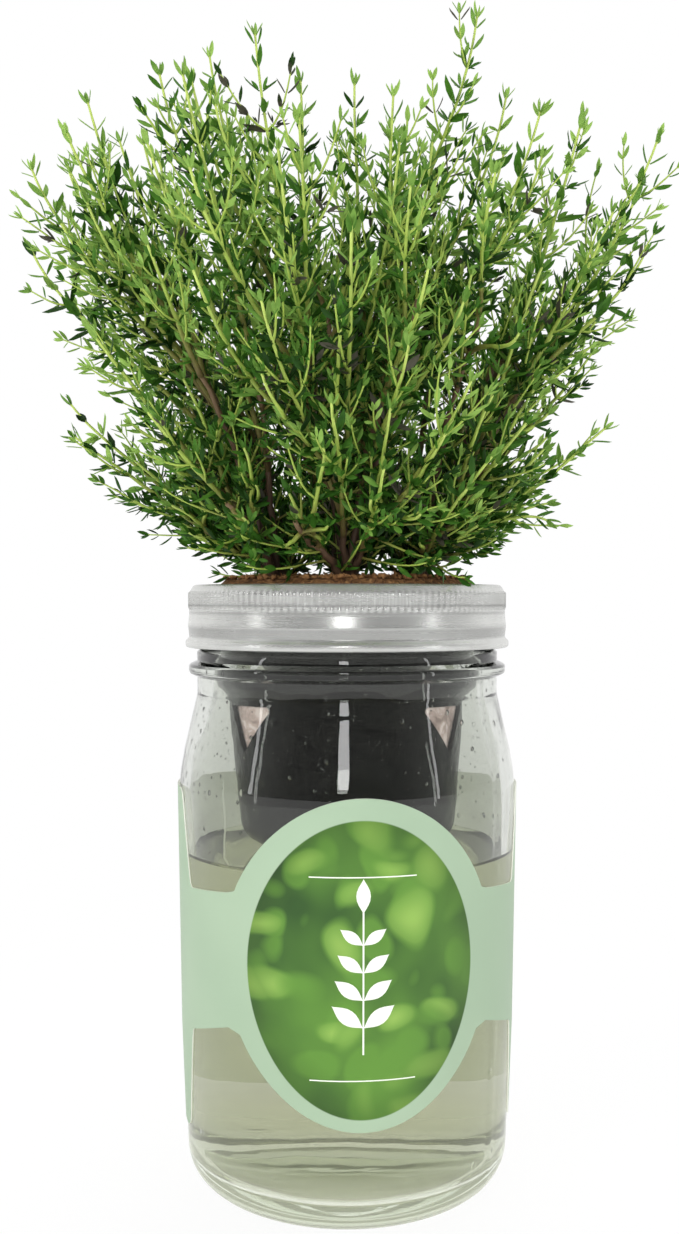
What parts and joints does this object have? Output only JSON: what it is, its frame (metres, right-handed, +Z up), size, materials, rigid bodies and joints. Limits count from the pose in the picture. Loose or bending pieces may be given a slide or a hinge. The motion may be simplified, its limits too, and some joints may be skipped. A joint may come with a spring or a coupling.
{
  "type": "hydroponic jar planter",
  "caption": "Wide-mouth glass jar of water with a screw band that holds a net pot of thyme; felt wicks hang from the pot into the water and a paper sleeve wraps the jar.",
  "frame": {"origin": "middle of the jar's foot, on the surface it stands on", "axes": "+Z up along the jar's axis; the label's oval faces -Y; +X is to its right as seen"},
  "size_m": [0.184, 0.184, 0.3299],
  "materials": {
    "jar_glass": "clear gloss",
    "label_paper": "matt mint card",
    "band_metal": "plated, satin",
    "pot_plastic": "gloss black",
    "wick_felt": "felt",
    "soil": "rough fibrous",
    "thyme_wood": "bark",
    "thyme_leaf": "soft leaf"
  },
  "bodies": {
    "jar": {"glass_jar": "jar_glass", "label_sleeve": "label_paper"},
    "insert": {"net_pot": "pot_plastic", "wick_left": "wick_felt", "wick_right": "wick_felt", "growing_medium": "soil", "thyme_1_stems": "thyme_wood", "thyme_1_leaves": "thyme_leaf", "thyme_2_stems": "thyme_wood", "thyme_2_leaves": "thyme_leaf", "thyme_3_stems": "thyme_wood", "thyme_3_leaves": "thyme_leaf", "thyme_4_stems": "thyme_wood", "thyme_4_leaves": "thyme_leaf", "thyme_5_stems": "thyme_wood", "thyme_5_leaves": "thyme_leaf", "thyme_6_stems": "thyme_wood", "thyme_6_leaves": "thyme_leaf", "thyme_7_stems": "thyme_wood", "thyme_7_leaves": "thyme_leaf"},
    "band": {"screw_band": "band_metal"}
  },
  "joints": [
    {"name": "insert_lift", "type": "slide", "parent": "jar", "child": "insert", "axis": [0, 0, 1], "range_m": [0, 0.15]},
    {"name": "band_turn", "type": "hinge", "parent": "insert", "child": "band", "pos_m": [0, 0, 0.17], "axis": [0, 0, 1], "range_deg": [0, 450]}
  ]
}
